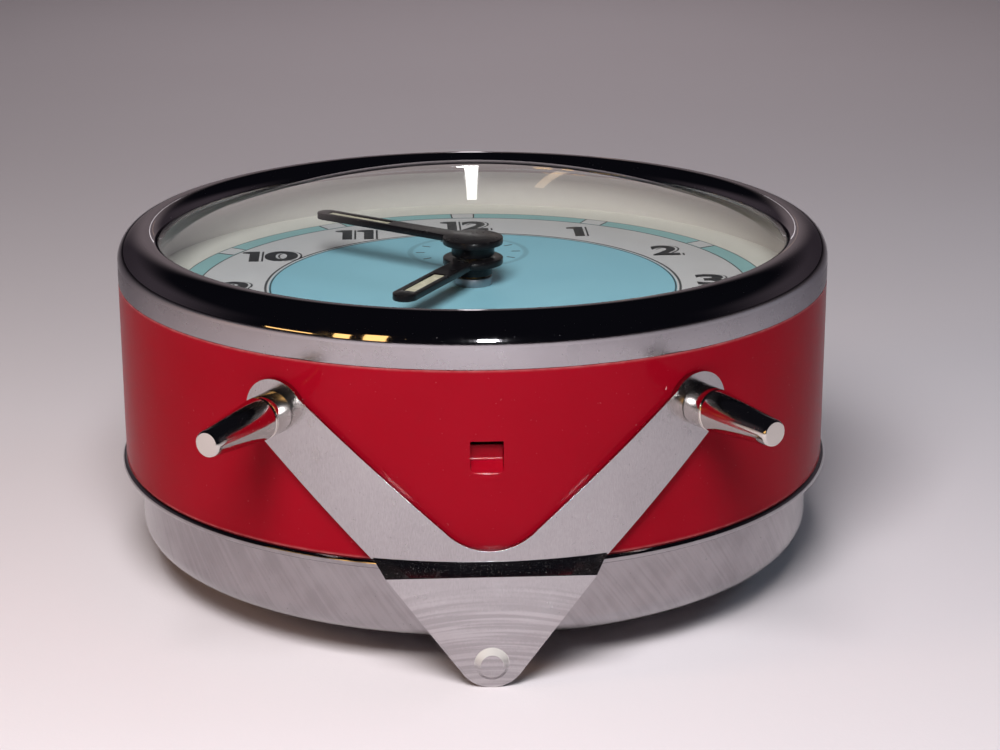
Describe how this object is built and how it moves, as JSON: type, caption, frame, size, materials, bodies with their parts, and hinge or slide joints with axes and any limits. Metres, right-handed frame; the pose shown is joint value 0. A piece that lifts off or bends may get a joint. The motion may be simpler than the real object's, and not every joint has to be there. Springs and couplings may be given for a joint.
{
  "type": "mechanical alarm clock",
  "caption": "Round wind-up alarm clock with a lacquered drum, domed crystal, printed dial, bent V stand with turned legs, rear winding keys and a geared movement inside.",
  "frame": {"origin": "on the clock's axis, on the end face of the hand-setting knob, which rests on the table when the clock lies on its back", "axes": "+Z out of the dial, +Y towards 12 o'clock, +X towards 3 o'clock"},
  "size_m": [0.099, 0.1118, 0.053],
  "materials": {
    "red_lacquer": "glossy red lacquer over steel",
    "chrome_trim": "bright chrome plate",
    "polished_steel": "polished plated steel, slightly wavy from pressing",
    "satin_steel": "satin nickel plate",
    "clear_crystal": "clear polished dome",
    "printed_dial": "matt printed enamel",
    "black_plastic": "black moulded plastic",
    "cream_lume": "cream luminous paint",
    "brass": "machined brass",
    "blued_steel": "blued spring steel",
    "plain_steel": "bright turned steel"
  },
  "bodies": {
    "case": {"case_drum": "red_lacquer", "bezel": "chrome_trim", "crystal": "clear_crystal", "dial": "printed_dial", "dial_eyelet": "plain_steel", "back_cover": "polished_steel", "cover_screws": "satin_steel", "back_posts": "satin_steel", "stand_plate": "satin_steel", "left_leg": "chrome_trim", "right_leg": "chrome_trim", "leg_nuts": "satin_steel", "front_plate": "brass", "rear_plate": "brass", "pillars": "brass", "pillar_nuts": "satin_steel", "balance_screws": "blued_steel", "hairspring": "blued_steel", "strike_post": "plain_steel", "click_springs": "blued_steel"},
    "minute_train": {"centre_arbor": "plain_steel", "cannon_pinion": "brass", "friction_spring": "brass", "minute_hand": "black_plastic", "minute_lume": "cream_lume", "set_knob": "black_plastic"},
    "minute_wheel_body": {"minute_wheel": "brass"},
    "hour_train": {"hour_wheel": "brass", "hour_hand": "black_plastic", "hour_lume": "cream_lume"},
    "alarm_release": {"alarm_wheel": "brass"},
    "alarm_setting": {"alarm_set_arbor": "plain_steel", "alarm_set_knob": "black_plastic", "alarm_hand": "plain_steel"},
    "time_barrel_body": {"time_barrel": "brass", "time_barrel_cap": "brass", "time_mainspring": "blued_steel"},
    "time_winding": {"time_winding_arbor": "plain_steel", "time_ratchet": "plain_steel", "time_key": "satin_steel"},
    "time_click_body": {"time_click": "plain_steel"},
    "centre_wheel_body": {"centre_wheel": "brass"},
    "third_wheel_body": {"third_wheel": "brass"},
    "fourth_wheel_body": {"fourth_wheel": "brass"},
    "escape_wheel_body": {"escape_wheel": "brass"},
    "lever_body": {"pallet_lever": "plain_steel"},
    "balance": {"balance_wheel": "brass", "balance_staff": "plain_steel"},
    "regulator": {"regulator_lever": "satin_steel"},
    "alarm_barrel_body": {"alarm_barrel": "brass", "alarm_barrel_cap": "brass", "alarm_mainspring": "blued_steel"},
    "alarm_winding": {"alarm_winding_arbor": "plain_steel", "alarm_ratchet": "plain_steel", "alarm_key": "satin_steel"},
    "alarm_click_body": {"alarm_click": "plain_steel"},
    "alarm_escape_body": {"alarm_escape_wheel": "brass"},
    "hammer_body": {"hammer": "plain_steel"},
    "stop": {"stop_button": "chrome_trim"}
  },
  "joints": [
    {"name": "minute_hand_turn", "type": "hinge", "parent": "case", "child": "minute_train", "pos_m": [0, 0, 0.034], "axis": [0, 0, 1], "continuous": true},
    {"name": "minute_wheel_turn", "type": "hinge", "parent": "case", "child": "minute_wheel_body", "pos_m": [-0.01039, -0.00378, 0.034], "axis": [0, 0, 1], "continuous": true},
    {"name": "hour_hand_turn", "type": "hinge", "parent": "case", "child": "hour_train", "pos_m": [0, 0, 0.036], "axis": [0, 0, 1], "continuous": true},
    {"name": "alarm_wheel_turn", "type": "hinge", "parent": "case", "child": "alarm_release", "pos_m": [0, 0.0177, 0.035], "axis": [0, 0, 1], "continuous": true},
    {"name": "alarm_set_turn", "type": "hinge", "parent": "case", "child": "alarm_setting", "pos_m": [0, 0.0177, 0.03], "axis": [0, 0, 1], "continuous": true},
    {"name": "time_barrel_turn", "type": "hinge", "parent": "case", "child": "time_barrel_body", "pos_m": [-0.01585, -0.01029, 0.025], "axis": [0, 0, 1], "continuous": true},
    {"name": "time_key_turn", "type": "hinge", "parent": "case", "child": "time_winding", "pos_m": [-0.01585, -0.01029, 0.015], "axis": [0, 0, 1], "continuous": true},
    {"name": "time_click_swing", "type": "hinge", "parent": "case", "child": "time_click_body", "pos_m": [-0.019, -0.01894, 0.013], "axis": [0, 0, 1], "range_deg": [0, 5]},
    {"name": "centre_wheel_turn", "type": "hinge", "parent": "case", "child": "centre_wheel_body", "pos_m": [0, 0, 0.028], "axis": [0, 0, 1], "continuous": true},
    {"name": "third_wheel_turn", "type": "hinge", "parent": "case", "child": "third_wheel_body", "pos_m": [-0.00944, 0.00661, 0.027], "axis": [0, 0, 1], "continuous": true},
    {"name": "fourth_wheel_turn", "type": "hinge", "parent": "case", "child": "fourth_wheel_body", "pos_m": [-0.01375, 0.01585, 0.022], "axis": [0, 0, 1], "continuous": true},
    {"name": "escape_wheel_turn", "type": "hinge", "parent": "case", "child": "escape_wheel_body", "pos_m": [-0.00796, 0.02275, 0.019], "axis": [0, 0, 1], "continuous": true},
    {"name": "lever_swing", "type": "hinge", "parent": "case", "child": "lever_body", "pos_m": [-0.00043, 0.02275, 0.02], "axis": [0, 0, 1], "range_deg": [-5, 5]},
    {"name": "balance_swing", "type": "hinge", "parent": "case", "child": "balance", "pos_m": [0.00991, 0.02092, 0.024], "axis": [0, 0, 1], "range_deg": [-200, 200]},
    {"name": "regulator_swing", "type": "hinge", "parent": "case", "child": "regulator", "pos_m": [0.00991, 0.02092, 0.013], "axis": [0, 0, 1], "range_deg": [-20, 20]},
    {"name": "alarm_barrel_turn", "type": "hinge", "parent": "case", "child": "alarm_barrel_body", "pos_m": [0.01798, -0.01123, 0.025], "axis": [0, 0, 1], "continuous": true},
    {"name": "alarm_key_turn", "type": "hinge", "parent": "case", "child": "alarm_winding", "pos_m": [0.01798, -0.01123, 0.015], "axis": [0, 0, 1], "continuous": true},
    {"name": "alarm_click_swing", "type": "hinge", "parent": "case", "child": "alarm_click_body", "pos_m": [0.02036, -0.02012, 0.013], "axis": [0, 0, 1], "range_deg": [0, 5]},
    {"name": "alarm_escape_turn", "type": "hinge", "parent": "case", "child": "alarm_escape_body", "pos_m": [0.0227, 0.00637, 0.02], "axis": [0, 0, 1], "continuous": true},
    {"name": "hammer_swing", "type": "hinge", "parent": "case", "child": "hammer_body", "pos_m": [0.02834, 0.00821, 0.02], "axis": [0, 0, 1], "range_deg": [-6, 6]},
    {"name": "stop_button_push", "type": "slide", "parent": "case", "child": "stop", "axis": [0, -1, 0], "range_m": [0, 0.003]}
  ],
  "couplings": [
    {"joint": "minute_wheel_turn", "follows": "minute_hand_turn", "ratio": -0.33333},
    {"joint": "hour_hand_turn", "follows": "minute_hand_turn", "ratio": 0.083333},
    {"joint": "third_wheel_turn", "follows": "fourth_wheel_turn", "ratio": -0.13333},
    {"joint": "centre_wheel_turn", "follows": "fourth_wheel_turn", "ratio": 0.016667},
    {"joint": "time_barrel_turn", "follows": "fourth_wheel_turn", "ratio": -0.0027778},
    {"joint": "escape_wheel_turn", "follows": "fourth_wheel_turn", "ratio": -8},
    {"joint": "lever_swing", "follows": "balance_swing", "ratio": -0.025},
    {"joint": "alarm_escape_turn", "follows": "alarm_barrel_turn", "ratio": -8},
    {"joint": "alarm_wheel_turn", "follows": "minute_hand_turn", "ratio": -0.083333}
  ]
}
